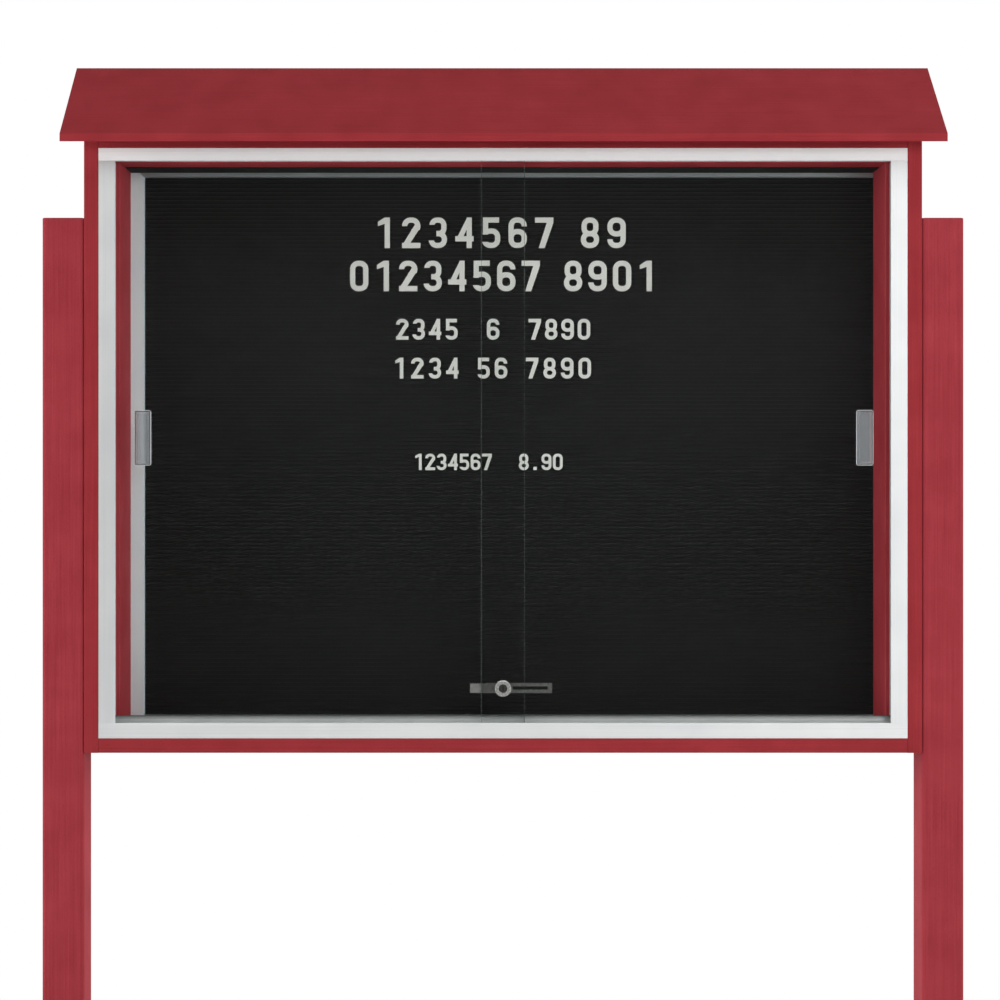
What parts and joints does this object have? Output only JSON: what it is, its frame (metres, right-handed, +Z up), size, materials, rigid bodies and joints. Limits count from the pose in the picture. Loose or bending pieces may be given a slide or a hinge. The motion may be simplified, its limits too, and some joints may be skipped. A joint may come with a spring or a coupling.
{
  "type": "lockable notice board",
  "caption": "Outdoor notice board on posts: gabled case of red plastic lumber, locked sliding glass doors in an aluminium frame, and a grooved letter board inside.",
  "frame": {"origin": "on the ground line, midway between the posts and in their centre plane", "axes": "+X to the right of someone reading the board, +Y from its front to its back, +Z up"},
  "size_m": [1.397, 0.2625, 2.6801],
  "materials": {
    "lumber": "red recycled plastic lumber, matt and lightly moulded",
    "screw_steel": "zinc plated or stainless steel",
    "track_aluminium": "clear anodised extrusion",
    "trim_aluminium": "clear anodised extrusion",
    "glide_plastic": "white nylon strip",
    "bumper_rubber": "black rubber",
    "door_glass": "clear tempered glass with polished edges",
    "pull_plastic": "smoky clear plastic",
    "lock_chrome": "polished chrome plate",
    "lock_steel": "bright plated steel",
    "letter_vinyl": "black grooved letter board",
    "digit_plastic": "white moulded plastic"
  },
  "bodies": {
    "case": {"post_left": "lumber", "post_right": "lumber", "post_bolts": "screw_steel", "post_washers": "screw_steel", "side_board_left": "lumber", "side_board_right": "lumber", "top_board": "lumber", "bottom_board": "lumber", "liner_left": "lumber", "liner_right": "lumber", "liner_top": "lumber", "back_panel": "lumber", "case_screws": "screw_steel", "liner_screws": "screw_steel", "top_liner_screws": "screw_steel", "back_screws": "screw_steel", "roof_slab_front": "lumber", "roof_slab_rear": "lumber", "gable_left": "lumber", "gable_right": "lumber", "eave_rail_front": "lumber", "eave_rail_rear": "lumber", "ridge_board": "lumber", "roof_screws": "screw_steel", "roof_plugs": "lumber", "roof_base_screws": "screw_steel", "top_track": "track_aluminium", "bottom_track": "track_aluminium", "jamb_left": "track_aluminium", "jamb_right": "track_aluminium", "track_screws": "screw_steel", "glide_strips": "glide_plastic", "jamb_bumpers": "bumper_rubber", "letter_board": "letter_vinyl", "letter_stile_left": "trim_aluminium", "letter_stile_right": "trim_aluminium", "letter_rail_top": "trim_aluminium", "letter_rail_bottom": "trim_aluminium", "letter_screws": "screw_steel", "digits_first": "digit_plastic", "digits_second": "digit_plastic", "digits_third": "digit_plastic", "digits_fourth": "digit_plastic", "digits_fifth": "digit_plastic"},
    "rear_door": {"door_glass_rear": "door_glass", "pull_rear": "pull_plastic", "lock_keeper": "lock_steel"},
    "front_door": {"door_glass_front": "door_glass", "pull_front": "pull_plastic", "lock_barrel": "lock_chrome", "lock_bar": "lock_steel", "lock_bar_screws": "lock_steel"},
    "lock_core": {"lock_plug": "lock_chrome", "lock_cam": "lock_steel", "lock_cam_screw": "lock_steel"}
  },
  "joints": [
    {"name": "rear_door_slide", "type": "slide", "parent": "case", "child": "rear_door", "axis": [1, 0, 0], "range_m": [0, 0.56]},
    {"name": "front_door_slide", "type": "slide", "parent": "case", "child": "front_door", "axis": [1, 0, 0], "range_m": [-0.53, 0]},
    {"name": "lock_turn", "type": "hinge", "parent": "front_door", "child": "lock_core", "pos_m": [0, -0.02215, 1.1155], "axis": [0, -1, 0], "range_deg": [0, 90]}
  ]
}
